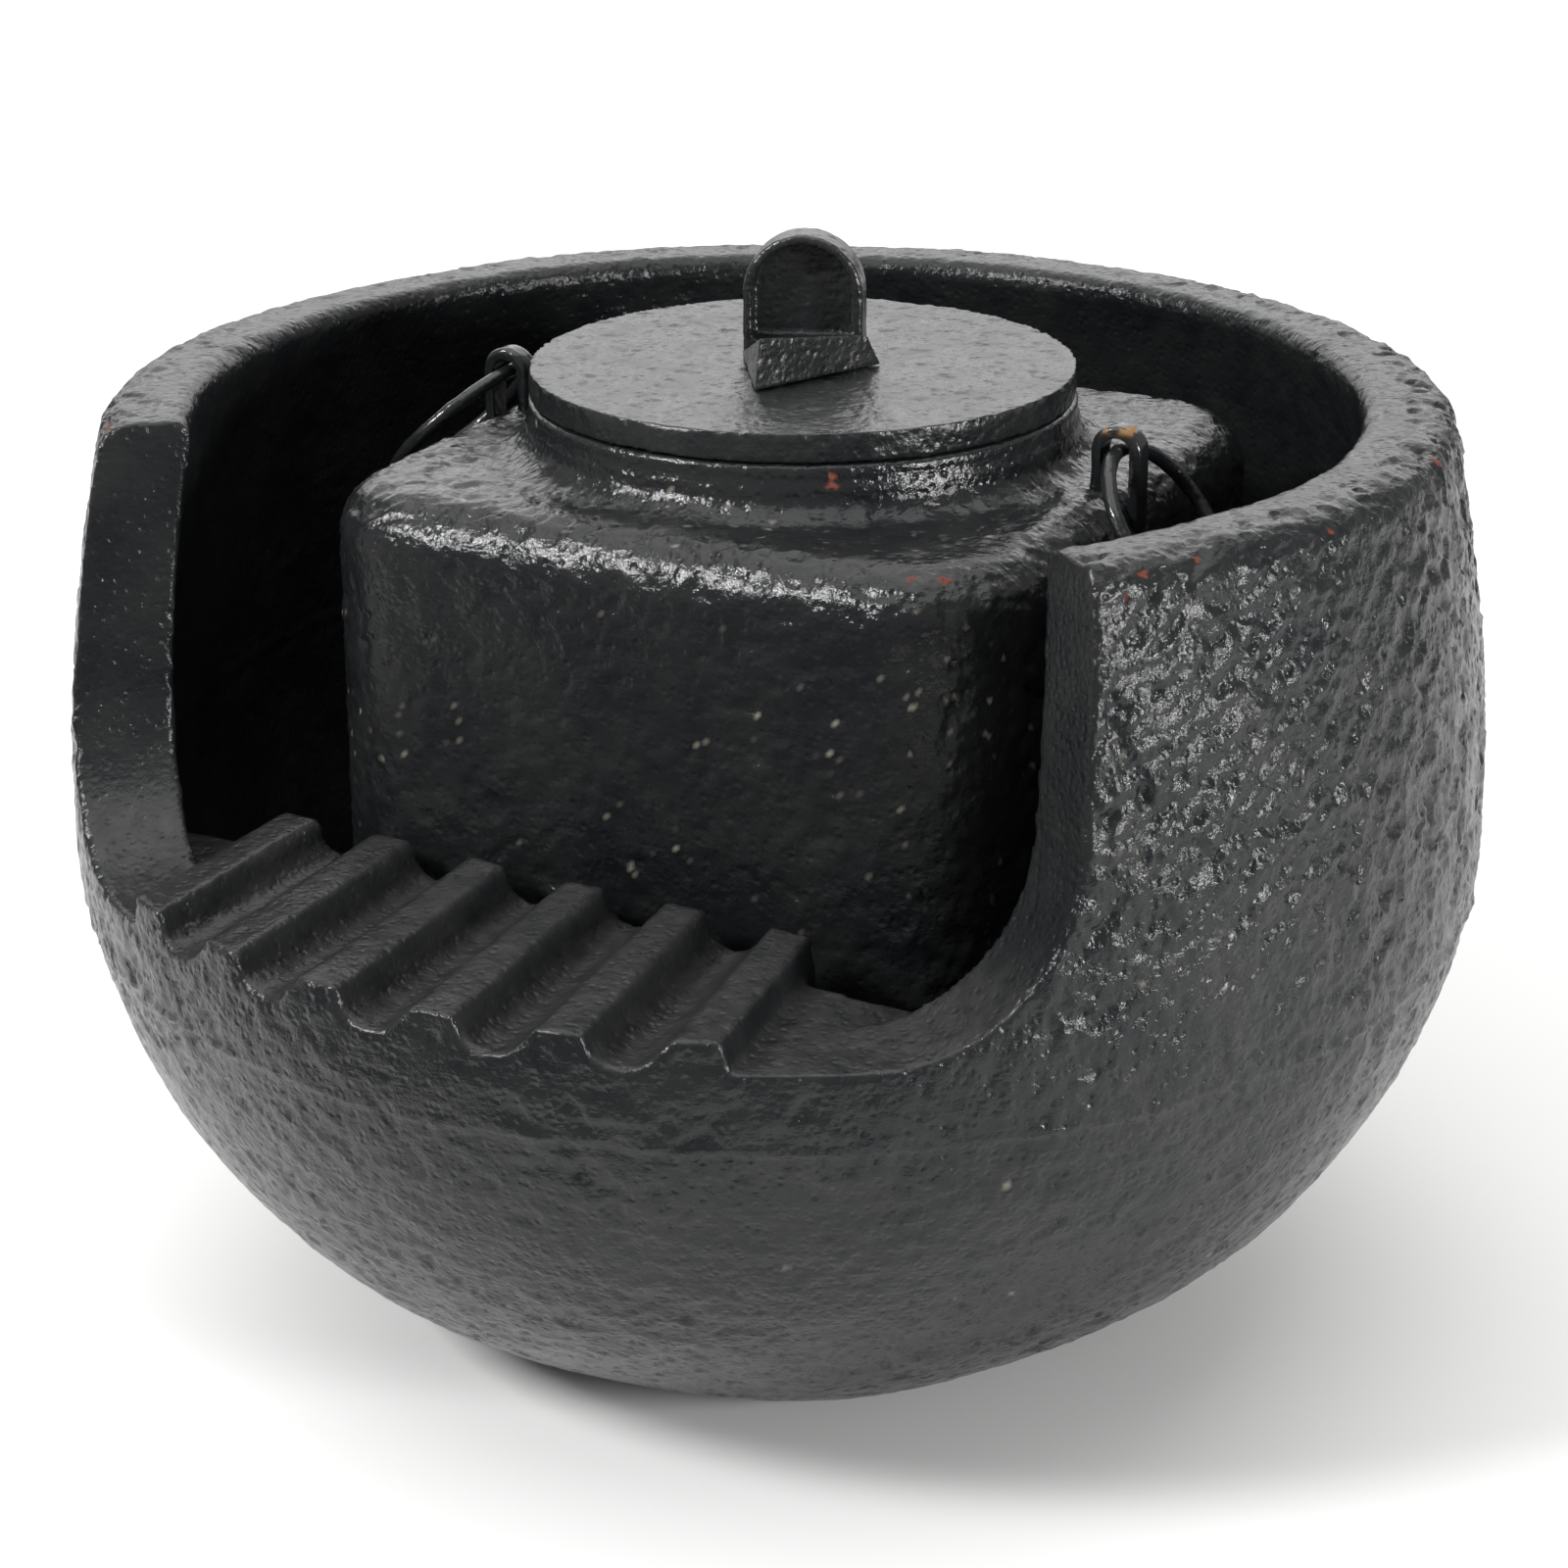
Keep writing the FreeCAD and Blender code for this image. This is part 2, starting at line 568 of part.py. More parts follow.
def lid_plate():
    skirt_low = NECK_TOP - LID_SKIRT_DEPTH
    skirt_inside = LID_SKIRT_RADIUS - LID_SKIRT_WALL
    return on_kettle_axis(turned([
        (0, NECK_TOP), (skirt_inside, NECK_TOP), (skirt_inside, skirt_low), (LID_SKIRT_RADIUS, skirt_low),
        (LID_SKIRT_RADIUS, NECK_TOP), (LID_RADIUS, NECK_TOP), (LID_RADIUS, LID_TOP), (0, LID_TOP),
    ]))


def knob_washer():
    washer = cylinder(KNOB_WASHER_RADIUS, -LID_THICKNESS - KNOB_WASHER_THICKNESS, -LID_THICKNESS)
    return at_knob(washer)


# ---------------------------------------------------------------- write the pieces

os.makedirs("parts", exist_ok=True)

export(brazier_bowl(), "brazier_bowl")
export(fire_grate(), "fire_grate")

ring, legs, rivets = trivet()
export(ring, "trivet_ring")
for number, leg in enumerate(legs, start=1):
    export(leg, "trivet_leg_" + str(number))
export(rivets, "trivet_rivets")

lugs = {"left": lug(-1), "right": lug(1)}
export(kettle_body(list(lugs.values())), "kettle_body")
for name, piece in lugs.items():
    export(piece, "lug_" + name)
export(ring_handle(-1), "ring_left")
export(ring_handle(1), "ring_right")

knob_fixings = knob_rivets()
export(lid_plate().cut(knob_fixings), "lid_plate")
export(lid_knob().cut(knob_fixings), "lid_knob")
export(knob_foot(lid_knob()), "knob_foot")
export(knob_washer().cut(knob_fixings), "knob_washer")
export(Part.makeCompound(knob_fixings), "knob_rivets")
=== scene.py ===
import math
import bmesh
import bpy
import numpy as np
from mathutils import Matrix, Vector, noise


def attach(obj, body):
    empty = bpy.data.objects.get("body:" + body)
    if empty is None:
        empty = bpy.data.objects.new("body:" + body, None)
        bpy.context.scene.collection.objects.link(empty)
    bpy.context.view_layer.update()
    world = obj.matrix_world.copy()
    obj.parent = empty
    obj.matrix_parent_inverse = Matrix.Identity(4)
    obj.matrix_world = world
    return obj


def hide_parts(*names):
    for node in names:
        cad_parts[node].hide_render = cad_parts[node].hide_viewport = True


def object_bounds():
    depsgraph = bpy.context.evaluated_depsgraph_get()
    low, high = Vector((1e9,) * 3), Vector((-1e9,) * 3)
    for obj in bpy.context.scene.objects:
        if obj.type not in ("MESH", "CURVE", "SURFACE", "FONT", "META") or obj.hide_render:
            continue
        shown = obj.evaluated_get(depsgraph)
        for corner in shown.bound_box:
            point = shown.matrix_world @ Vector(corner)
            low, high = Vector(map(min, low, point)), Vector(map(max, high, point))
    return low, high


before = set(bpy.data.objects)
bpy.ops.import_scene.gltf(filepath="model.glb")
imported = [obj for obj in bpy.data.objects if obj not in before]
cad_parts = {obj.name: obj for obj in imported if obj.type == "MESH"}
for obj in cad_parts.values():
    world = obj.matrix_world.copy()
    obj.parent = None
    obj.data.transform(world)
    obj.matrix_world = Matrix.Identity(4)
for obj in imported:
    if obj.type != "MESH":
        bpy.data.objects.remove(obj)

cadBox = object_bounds()
scene = bpy.context.scene
scene.view_settings.view_transform = "Standard"
print("frame loaded:", len(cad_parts), "CAD pieces")


def smoothStep(low, high, value):
    t = np.clip((value - low) / (high - low), 0.0, 1.0)
    return t * t * (3.0 - 2.0 * t)


def lumps(points, size, octaves=2, stretch=(1.0, 1.0, 1.0), shift=0.0):
    # rolling noise between about -1 and 1, its lumps about "size" across
    scaled = points / (np.array(stretch) * size) + shift
    return np.array([noise.fractal(p, 0.8, 2.1, octaves) for p in scaled.tolist()])


def warped(points, size, amount, shift=0.0):
    # shoves the points about, so that noise laid on them looks less even
    shove = np.array([noise.noise_vector(p) for p in (points / size + shift).tolist()])
    return points + amount * shove


def beadRing(work, centreX, radius, height, thickness):
    # a closed ring that the skin will melt into the casting
    turns, around = 160, 10
    rows = []
    for i in range(turns):
        a = 2 * math.pi * i / turns
        row = []
        for j in range(around):
            b = 2 * math.pi * j / around
            r = radius + thickness * math.cos(b)
            row.append(work.verts.new((centreX + r * math.cos(a), r * math.sin(a), height + thickness * math.sin(b))))
        rows.append(row)
    for i in range(turns):
        here, following = rows[i], rows[(i + 1) % turns]
        for j in range(around):
            k = (j + 1) % around
            work.faces.new((here[j], following[j], following[k], here[k]))


def cells(points, size, shift=0.0):
    # distance to the nearest of many scattered points, in units of "size"
    scaled = points / size + shift
    return np.array([noise.voronoi(p)[0][0] for p in scaled.tolist()])


def meshArrays(mesh):
    count = len(mesh.vertices)
    points = np.empty(count * 3)
    normals = np.empty(count * 3)
    mesh.vertices.foreach_get("co", points)
    mesh.vertices.foreach_get("normal", normals)
    return points.reshape(-1, 3), normals.reshape(-1, 3)


def cadCopy(node):
    # a welded copy of a CAD piece, to be worked on
    work = bmesh.new()
    work.from_mesh(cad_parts[node].data)
    bmesh.ops.remove_doubles(work, verts=work.verts, dist=2e-6)
    return work


def linked(name, work):
    mesh = bpy.data.meshes.new(name)
    work.to_mesh(mesh)
    work.free()
    piece = bpy.data.objects.new(name, mesh)
    scene.collection.objects.link(piece)
    return piece


def applyModifiers(piece):
    settled = piece.evaluated_get(bpy.context.evaluated_depsgraph_get())
    mesh = bpy.data.meshes.new_from_object(settled)
    piece.modifiers.clear()
    piece.data = mesh
    mesh.name = piece.name


def castSkin(piece, voxel, smoothing):
    # one closed skin of even quads, with its sharp corners eased
    skin = piece.modifiers.new("skin", "REMESH")
    skin.mode = "VOXEL"
    skin.voxel_size = voxel
    skin.use_smooth_shade = True
    ease = piece.modifiers.new("ease", "SMOOTH")
    ease.factor = 0.5
    ease.iterations = smoothing
    applyModifiers(piece)


def pushOut(piece, heights):
    # moves every point along its normal, but never out of the box that the CAD fills
    points, normals = meshArrays(piece.data)
    moved = np.clip(points + normals * heights[:, None], np.array(cadBox[0]) + 1e-6, np.array(cadBox[1]) - 1e-6)
    piece.data.vertices.foreach_set("co", moved.astype(np.float32).ravel())
    piece.data.update()


def paintAmount(piece, name, amounts):
    # a per-point amount that the materials read
    layer = piece.data.attributes.new(name, "FLOAT", "POINT")
    layer.data.foreach_set("value", amounts.astype(np.float32))


def spotAmount(points, spots):
    # 1 inside each spot and 0 outside it, with a ragged edge
    amount = np.zeros(len(points))
    ragged = lumps(points, 0.0016, 2, shift=31.0)
    for x, y, z, size in spots:
        gap = np.linalg.norm(points - np.array((x, y, z)), axis=1) / size
        amount = np.maximum(amount, smoothStep(1.0, 0.75, gap + 0.9 * ragged))
    return amount


def finishPiece(piece, material, body, slot, *nodes):
    piece.data.materials.clear()
    piece.data.materials.append(material)
    for face in piece.data.polygons:
        face.use_smooth = True
    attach(piece, body)
    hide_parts(*nodes)
    print("made", piece.name, len(piece.data.polygons), "faces")


def newMaterial(name):
    material = bpy.data.materials.new(name)
    material.use_nodes = True
    tree = material.node_tree
    tree.nodes.clear()
    shader = tree.nodes.new("ShaderNodeBsdfPrincipled")
    output = tree.nodes.new("ShaderNodeOutputMaterial")
    tree.links.new(shader.outputs["BSDF"], output.inputs["Surface"])
    return material, tree, shader


def noiseNode(tree, scale, detail=3.0, roughness=0.55, distortion=0.0, stretch=(1, 1, 1)):
    coords = tree.nodes.new("ShaderNodeTexCoord")
    mapping = tree.nodes.new("ShaderNodeMapping")
    mapping.inputs["Scale"].default_value = stretch
    texture = tree.nodes.new("ShaderNodeTexNoise")
    texture.inputs["Scale"].default_value = scale
    texture.inputs["Detail"].default_value = detail
    texture.inputs["Roughness"].default_value = roughness
    texture.inputs["Distortion"].default_value = distortion
    tree.links.new(coords.outputs["Object"], mapping.inputs["Vector"])
    tree.links.new(mapping.outputs["Vector"], texture.inputs["Vector"])
    return texture.outputs["Fac"]


def cellNode(tree, scale):
    coords = tree.nodes.new("ShaderNodeTexCoord")
    texture = tree.nodes.new("ShaderNodeTexVoronoi")
    texture.inputs["Scale"].default_value = scale
    tree.links.new(coords.outputs["Object"], texture.inputs["Vector"])
    return texture.outputs["Distance"]


def rampNode(tree, source, stops):
    ramp = tree.nodes.new("ShaderNodeValToRGB")
    while len(ramp.color_ramp.elements) < len(stops):
        ramp.color_ramp.elements.new(0.5)
    for element, (place, colour) in zip(ramp.color_ramp.elements, stops):
        element.position = place
        element.color = colour if len(colour) == 4 else (*colour, 1.0)
    tree.links.new(source, ramp.inputs["Fac"])
    return ramp.outputs["Color"]


def grey(level):
    return (level, level, level, 1.0)


def mixColour(tree, amount, below, above):
    mix = tree.nodes.new("ShaderNodeMix")
    mix.data_type = "RGBA"
    tree.links.new(amount, mix.inputs["Factor"])
    for socket, value in (("A", below), ("B", above)):
        target = [s for s in mix.inputs if s.name == socket and s.type == "RGBA"][0]
        if isinstance(value, tuple):
            target.default_value = (*value, 1.0)
        else:
            tree.links.new(value, target)
    return [s for s in mix.outputs if s.type == "RGBA"][0]


def mathNode(tree, operation, first, second):
    node = tree.nodes.new("ShaderNodeMath")
    node.operation = operation
    for index, value in enumerate((first, second)):
        if isinstance(value, (int, float)):
            node.inputs[index].default_value = value
        else:
            tree.links.new(value, node.inputs[index])
    return node.outputs["Value"]


def attributeNode(tree, name):
    node = tree.nodes.new("ShaderNodeAttribute")
    node.attribute_name = name
    return node.outputs["Fac"]


def bumpNode(tree, shader, layers):
    # stacks bump layers, each one (height, distance, strength)
    normal = None
    for height, distance, strength in layers:
        bump = tree.nodes.new("ShaderNodeBump")
        bump.inputs["Distance"].default_value = distance
        bump.inputs["Strength"].default_value = strength
        tree.links.new(height, bump.inputs["Height"])
        if normal is not None:
            tree.links.new(normal, bump.inputs["Normal"])
        normal = bump.outputs["Normal"]
    tree.links.new(normal, shader.inputs["Normal"])


paint = {
    "black": (0.0075, 0.0082, 0.0092),
    "worn": (0.0150, 0.0156, 0.0156),
    # pale grey for the sill: partly real wear, partly painted light on its upward faces
    "dust_and_top_light": (0.0600, 0.0600, 0.0560),
    "primer": (0.150, 0.030, 0.014),
    "ochre": (0.200, 0.095, 0.022),
    "grit": (0.260, 0.245, 0.195),
}


def glossPaint(name, gloss, dull, fine, specular):
    # thick black paint over a casting, with chips, rust and grit where a piece carries those amounts, and a pale grey
    # where it carries wear_and_top_light: real rubbed wear plus painted light on upward faces
    material, tree, shader = newMaterial(name)
    patches = noiseNode(tree, 55.0, 4.0, 0.6)
    wear_and_top_light = attributeNode(tree, "wear_and_top_light")
    colour = rampNode(tree, patches, [(0.35, paint["black"]), (0.72, paint["worn"])])
    # painted light: upward sill faces are lightened here as well as worn
    colour = mixColour(tree, wear_and_top_light, colour, paint["dust_and_top_light"])
    colour = mixColour(tree, attributeNode(tree, "grit"), colour, paint["grit"])
    colour = mixColour(tree, attributeNode(tree, "rust"), colour, paint["ochre"])
    colour = mixColour(tree, attributeNode(tree, "chip"), colour, paint["primer"])
    tree.links.new(colour, shader.inputs["Base Color"])
    sheen = rampNode(tree, noiseNode(tree, 120.0, 5.0, 0.65), [(0.3, grey(gloss)), (0.75, grey(dull))])
    bare = mathNode(tree, "MAXIMUM", attributeNode(tree, "chip"), attributeNode(tree, "rust"))
    rubbed = mathNode(tree, "MAXIMUM", mathNode(tree, "MULTIPLY", bare, 0.8), mathNode(tree, "MULTIPLY", wear_and_top_light, 0.55))
    tree.links.new(mathNode(tree, "MAXIMUM", sheen, rubbed), shader.inputs["Roughness"])
    shader.inputs["Specular IOR Level"].default_value = specular
    brushed = noiseNode(tree, 95.0, 3.0, 0.6, stretch=(1, 1, 9))
    grain = noiseNode(tree, 460.0, 4.0, 0.65)
    pits = rampNode(tree, cellNode(tree, 420.0), [(0.08, grey(0.0)), (0.42, grey(1.0))])
    bumpNode(tree, shader, [(brushed, 0.00025, fine * 0.6), (grain, 0.00050, fine), (pits, 0.00030, fine * 0.8)])
    return material


bowlPaint = glossPaint("bowlPaint", 0.12, 0.26, 0.80, 0.29)
kettlePaint = glossPaint("kettlePaint", 0.11, 0.24, 0.65, 0.38)
lidPaint = glossPaint("lidPaint", 0.22, 0.36, 0.55, 0.46)
rodPaint = glossPaint("rodPaint", 0.14, 0.26, 0.25, 0.50)


def sootyIron(name, iron, soot, ash):
    # bare iron from the fire: soot, ash dust and a little rust
    material, tree, shader = newMaterial(name)
    scale = noiseNode(tree, 90.0, 6.0, 0.65)
    colour = rampNode(tree, scale, [(0.30, soot), (0.62, iron), (0.85, ash)])
    rusty = rampNode(tree, noiseNode(tree, 160.0, 4.0, 0.7), [(0.55, grey(0.0)), (0.72, grey(0.8))])
    colour = mixColour(tree, rusty, colour, (0.075, 0.030, 0.014))
    tree.links.new(colour, shader.inputs["Base Color"])
    rough = rampNode(tree, scale, [(0.3, grey(0.62)), (0.8, grey(0.92))])
    tree.links.new(rough, shader.inputs["Roughness"])
    shader.inputs["Metallic"].default_value = 0.35
    bumpNode(tree, shader, [(noiseNode(tree, 480.0, 5.0, 0.7), 0.0004, 0.6),
                            (noiseNode(tree, 1500.0, 3.0, 0.6), 0.0002, 0.5)])
    return material


fireIron = sootyIron("fireIron", (0.030, 0.027, 0.025), (0.010, 0.009, 0.009), (0.110, 0.100, 0.092))
rivetIron = sootyIron("rivetIron", (0.045, 0.040, 0.036), (0.014, 0.012, 0.012), (0.080, 0.070, 0.062))
print("materials ready")


bowl = {
    "voxel": 0.0011,
    "smoothing": 2,
    "bellyHeight": 0.121,
    "outerRadius": 0.160,
    "innerRadius": 0.139,
    "windowHalfAngle": math.radians(51.3),
    "sillHeight": 0.121,
    "ribTop": 0.128,
    "swell": 0.0009,          # slow waves in the wall
    "lump": 0.00040,          # lumps of the sand, about 9 mm across
    "knobble": 0.00032,       # small knobbles, about 3 mm across
    "pit": 0.00050,           # open pits
    "streak": 0.00060,        # slanting streaks beside the window
    "partingHeight": 0.104,
    "partingRidge": 0.00080,
    "partingStep": 0.00045,
    "insideSeamHeight": 0.134,
    "insideSeamRidge": 0.0004,
    "chips": (                # side, angle from the window's middle, height, size
        (1, 53.6, 0.2085, 0.0013), (1, 55.5, 0.2112, 0.0010), (1, 58.0, 0.2100, 0.0008),
        (1, 60.5, 0.2118, 0.0009), (-1, 53.5, 0.2122, 0.0014), (-1, 55.0, 0.2095, 0.0008),
        (1, 96.0, 0.2110, 0.0013), (1, 99.0, 0.2080, 0.0008), (1, 52.0, 0.1520, 0.0009),
        (1, 52.2, 0.1640, 0.0006), (1, 75.0, 0.2105, 0.0010), (1, 120.0, 0.2110, 0.0010),
    ),
}


def bowlCasting():
    piece = linked("bowlCasting", cadCopy("brazier_bowl"))
    castSkin(piece, bowl["voxel"], bowl["smoothing"])
    points, normals = meshArrays(piece.data)
    x, y, z = points.T
    reach = np.hypot(x, y)
    turn = np.arctan2(x, -y)
    inward = -(normals[:, 0] * x + normals[:, 1] * y) / np.maximum(reach, 1e-6)
    across = np.abs(normals[:, 0] * -y + normals[:, 1] * x) / np.maximum(reach, 1e-6)
    halfHeight = np.where(z > bowl["bellyHeight"], 0.252, 0.135)
    middle = 0.5 * (bowl["outerRadius"] + bowl["innerRadius"])
    wallMiddle = middle * np.sqrt(np.clip(1 - ((z - bowl["bellyHeight"]) / halfHeight) ** 2, 0, 1))
    outside = (reach > wallMiddle) & (across < 0.6)
    nearWindow = smoothStep(bowl["windowHalfAngle"] + 0.1, bowl["windowHalfAngle"] + 0.06, np.abs(turn))
    cutFace = smoothStep(0.45, 0.8, across) * nearWindow
    shelf = smoothStep(bowl["ribTop"] + 0.016, bowl["ribTop"], z) * smoothStep(0.113, bowl["sillHeight"] - 0.002, z)
    sill = smoothStep(0.1, 0.9, normals[:, 2]) * shelf * smoothStep(0.082, 0.090, reach) * nearWindow

    # the casting is rougher on its upper right and smoother low down in front
    right = smoothStep(0.2, 0.9, turn) * smoothStep(2.9, 2.2, turn)
    rough = np.where(outside, 0.95, 0.55) * (1 - 0.8 * cutFace) * (1 - 0.6 * sill)
    rough = rough * (1 + 0.6 * right * smoothStep(0.09, 0.15, z) * outside)
    rough = rough * (1 - 0.3 * smoothStep(0.11, 0.07, z) * outside)
    rough = rough * (1 + 0.5 * lumps(points, 0.03, 2, shift=71.0))

    loose = warped(points, 0.012, 0.0035)
    slow = lumps(points, 0.055, 1)
    lump = lumps(loose, 0.009, 2, stretch=(1.0, 1.0, 0.8), shift=5.0)
    knobble = lumps(loose, 0.0034, 3, shift=9.0)
    pit = smoothStep(0.22, 0.60, lumps(loose, 0.0050, 3, shift=17.0))
    height = bowl["swell"] * slow * (1 - cutFace) + rough * (
        bowl["lump"] * lump + bowl["knobble"] * knobble - bowl["pit"] * pit)

    # slanting streaks on the wall right of the window
    along = reach * turn
    slanted = np.stack([along * 0.8 + z * 0.6, along * 0, z * 0.8 - along * 0.6], axis=1)
    streak = lumps(slanted, 0.0032, 2, stretch=(2.6, 1.0, 0.8), shift=61.0)
    beside = right * smoothStep(0.12, 0.16, z) * smoothStep(1.5, 1.15, turn) * outside
    height = height + bowl["streak"] * streak * beside

    wander = 0.0012 * lumps(points, 0.05, 2, shift=41.0)
    broken = 0.35 + 0.65 * smoothStep(-0.25, 0.25, lumps(points, 0.02, 2, shift=47.0))
    aboveLine = z - bowl["partingHeight"] - wander
    parting = np.exp(-(aboveLine / 0.0008) ** 2) * outside * broken
    step = (smoothStep(-0.0006, 0.0006, aboveLine) * smoothStep(0.03, 0.0, aboveLine)) * outside
    seam = np.exp(-((z - bowl["insideSeamHeight"] - wander) / 0.0011) ** 2) * (~outside) * (inward > 0.5)
    height = height + bowl["partingRidge"] * parting + bowl["partingStep"] * step + bowl["insideSeamRidge"] * seam
    pushOut(piece, height * smoothStep(0.0005, 0.004, z))

    points, normals = meshArrays(piece.data)
    chips = []
    for side, angle, level, size in bowl["chips"]:
        radius = bowl["outerRadius"] * math.sqrt(1 - ((level - bowl["bellyHeight"]) / 0.252) ** 2) - 0.002
        a = math.radians(angle) * side
        chips.append((radius * math.sin(a), -radius * math.cos(a), level, size))
    paintAmount(piece, "chip", spotAmount(points, chips))
    thinly = smoothStep(0.15, 0.4, lumps(points, 0.03, 2, shift=8.0))
    specks = smoothStep(0.10, 0.06, cells(points, 0.010, shift=3.0)) * thinly
    paintAmount(piece, "grit", 0.6 * specks * outside)
    # the upward-facing sill is lightened: partly real rubbed wear, partly painted light on its top faces
    rubbedAndLitPatches = 0.55 + 0.45 * lumps(points, 0.0035, 2, shift=51.0)
    paintAmount(piece, "wear_and_top_light", np.clip(0.42 * sill * rubbedAndLitPatches, 0, 1))
    finishPiece(piece, bowlPaint, "bowl", "bowl_iron", "brazier_bowl")


bowlCasting()


kettle = {
    "voxel": 0.0011,
    "smoothing": 2,
    "axisX": 0.0065,
    "shoulderHeight": 0.202,
    "neckRadius": 0.061,
    "swell": 0.0006,
    "lump": 0.00042,
    "knobble": 0.00036,
    "pit": 0.00055,
    "chips": (                # each is a place and a size
        (0.0745, -0.0720, 0.2000, 0.0013), (0.0690, -0.0745, 0.2002, 0.0008), (0.0770, -0.0690, 0.1990, 0.0008),
        (0.0150, -0.0805, 0.1985, 0.0007), (0.0400, -0.0515, 0.2105, 0.0012), (0.0560, -0.0375, 0.2110, 0.0009),
    ),
}


def kettleCasting():
    work = cadCopy("kettle_body")
    beadRing(work, kettle["axisX"], kettle["neckRadius"] - 0.0002, 0.2085, 0.0011)
    piece = linked("kettleCasting", work)
    castSkin(piece, kettle["voxel"], kettle["smoothing"])
    points, normals = meshArrays(piece.data)
    x, y, z = points.T
    aside = np.hypot(x - kettle["axisX"], y)
    neck = smoothStep(0.003, 0.006, z - kettle["shoulderHeight"]) * (aside < 0.064)
    front = smoothStep(0.6, 0.9, -normals[:, 1])
    loose = warped(points, 0.010, 0.003, shift=4.0)
    slow = lumps(points, 0.045, 1, shift=2.0)
    lump = lumps(loose, 0.0075, 2, shift=6.0)
    knobble = lumps(loose, 0.0030, 3, shift=13.0)
    pit = smoothStep(0.22, 0.6, lumps(loose, 0.0048, 3, shift=19.0))
    rough = (1 - 0.9 * neck) * (1 - 0.25 * front) * (1 + 0.4 * lumps(points, 0.03, 2, shift=73.0))
    height = kettle["swell"] * slow * (1 - neck) + rough * (
        kettle["lump"] * lump + kettle["knobble"] * knobble - kettle["pit"] * pit)
    pushOut(piece, height * smoothStep(0.0965, 0.100, z))

    points, normals = meshArrays(piece.data)
    paintAmount(piece, "chip", spotAmount(points, kettle["chips"]))
    thinly = smoothStep(-0.1, 0.3, lumps(points, 0.03, 2, shift=9.0))
    fewer = smoothStep(-0.2, 0.2, lumps(points, 0.012, 2, shift=15.0))
    specks = smoothStep(0.115, 0.07, cells(points, 0.0060, shift=4.0)) * thinly
    crumbs = smoothStep(0.17, 0.11, cells(points, 0.0036, shift=14.0)) * thinly * fewer
    paintAmount(piece, "grit", np.maximum(0.8 * specks, 0.55 * crumbs))
    finishPiece(piece, kettlePaint, "kettle", "kettle_iron", "kettle_body")


kettleCasting()


lid = {
    "voxel": 0.0008,
    "smoothing": 1,
    "lump": 0.00016,
    "knobble": 0.00010,
    "pit": 0.00022,
}


def lidCasting(name, node, voxel, amount):
    piece = linked(name, cadCopy(node))
    castSkin(piece, voxel, lid["smoothing"])
    points, normals = meshArrays(piece.data)
    loose = warped(points, 0.008, 0.002, shift=2.0)
    lump = lumps(loose, 0.0065, 2, shift=23.0)
    knobble = lumps(loose, 0.0026, 2, shift=27.0)
    pit = smoothStep(0.25, 0.6, lumps(loose, 0.0036, 2, shift=29.0))
    height = amount * (lid["lump"] * (lump - 1) + lid["knobble"] * (knobble - 1) - lid["pit"] * pit)
    pushOut(piece, np.minimum(height, 0.0))
    return piece


lidPlate = lidCasting("lidPlate", "lid_plate", lid["voxel"], 1.0)
finishPiece(lidPlate, lidPaint, "lid", "lid_iron", "lid_plate")
fingerKnob = lidCasting("fingerKnob", "lid_knob", 0.0005, 0.6)
finishPiece(fingerKnob, lidPaint, "lid", "lid_iron", "lid_knob")
knobFoot = lidCasting("knobFoot", "knob_foot", 0.0005, 0.5)
finishPiece(knobFoot, lidPaint, "lid", "lid_iron", "knob_foot")


smallPieces = (
    ("knobWasher", "knob_washer", "lid", "rivet_steel", rivetIron, 0.0006),
    ("knobRivets", "knob_rivets", "lid", "rivet_steel", rivetIron, 0.0004),
    ("fireGrate", "fire_grate", "grate", "fire_iron", fireIron, 0.0010),
    ("trivetRing", "trivet_ring", "trivet", "fire_iron", fireIron, 0.0008),
    ("trivetLegBack", "trivet_leg_1", "trivet", "fire_iron", fireIron, 0.0008),
    ("trivetLegLeft", "trivet_leg_2", "trivet", "fire_iron", fireIron, 0.0008),
    ("trivetLegRight", "trivet_leg_3", "trivet", "fire_iron", fireIron, 0.0008),
    ("trivetRivets", "trivet_rivets", "trivet", "rivet_steel", rivetIron, 0.0004),
    ("lugLeft", "lug_left", "kettle", "rod_steel", rodPaint, 0.0004),
    ("lugRight", "lug_right", "kettle", "rod_steel", rodPaint, 0.0004),
    ("ringLeft", "ring_left", "left_ring", "rod_steel", rodPaint, 0.0004),
    ("ringRight", "ring_right", "right_ring", "rod_steel", rodPaint, 0.0004),
)

for name, node, body, slot, material, voxel in smallPieces:
    piece = linked(name, cadCopy(node))
    castSkin(piece, voxel, 1)
    points, normals = meshArrays(piece.data)
    dents = lumps(points, 0.006, 2, shift=33.0) + 0.5 * lumps(points, 0.0022, 2, shift=37.0)
    pushOut(piece, np.minimum(0.00012 * (dents - 1.0), 0.0))
    if node == "lug_right":
        points, normals = meshArrays(piece.data)
        crown = smoothStep(0.2130, 0.2148, points[:, 2])
        paintAmount(piece, "rust", crown * smoothStep(-0.3, 0.3, lumps(points, 0.002, 2, shift=81.0)))
    finishPiece(piece, material, body, slot, node)


studio = {
    "floorSize": 12.0,
    "floorColour": (0.80, 0.80, 0.79),
    "worldLight": 0.36,
    "cardSize": (2.6, 1.25),
    "cardPlace": (0.15, -0.94, 0.001),
}


def studioFloor():
    work = bmesh.new()
    bmesh.ops.create_grid(work, x_segments=24, y_segments=24, size=studio["floorSize"] / 2)
    floor = linked("studioFloor", work)
    material, tree, shader = newMaterial("palePaper")
    shade = rampNode(tree, noiseNode(tree, 3.0, 2.0), [(0.3, studio["floorColour"]), (0.7, (0.82, 0.82, 0.815))])
    tree.links.new(shade, shader.inputs["Base Color"])
    shader.inputs["Roughness"].default_value = 0.9
    shader.inputs["Specular IOR Level"].default_value = 0.1
    floor.data.materials.append(material)
    floor.location.z = -0.0002


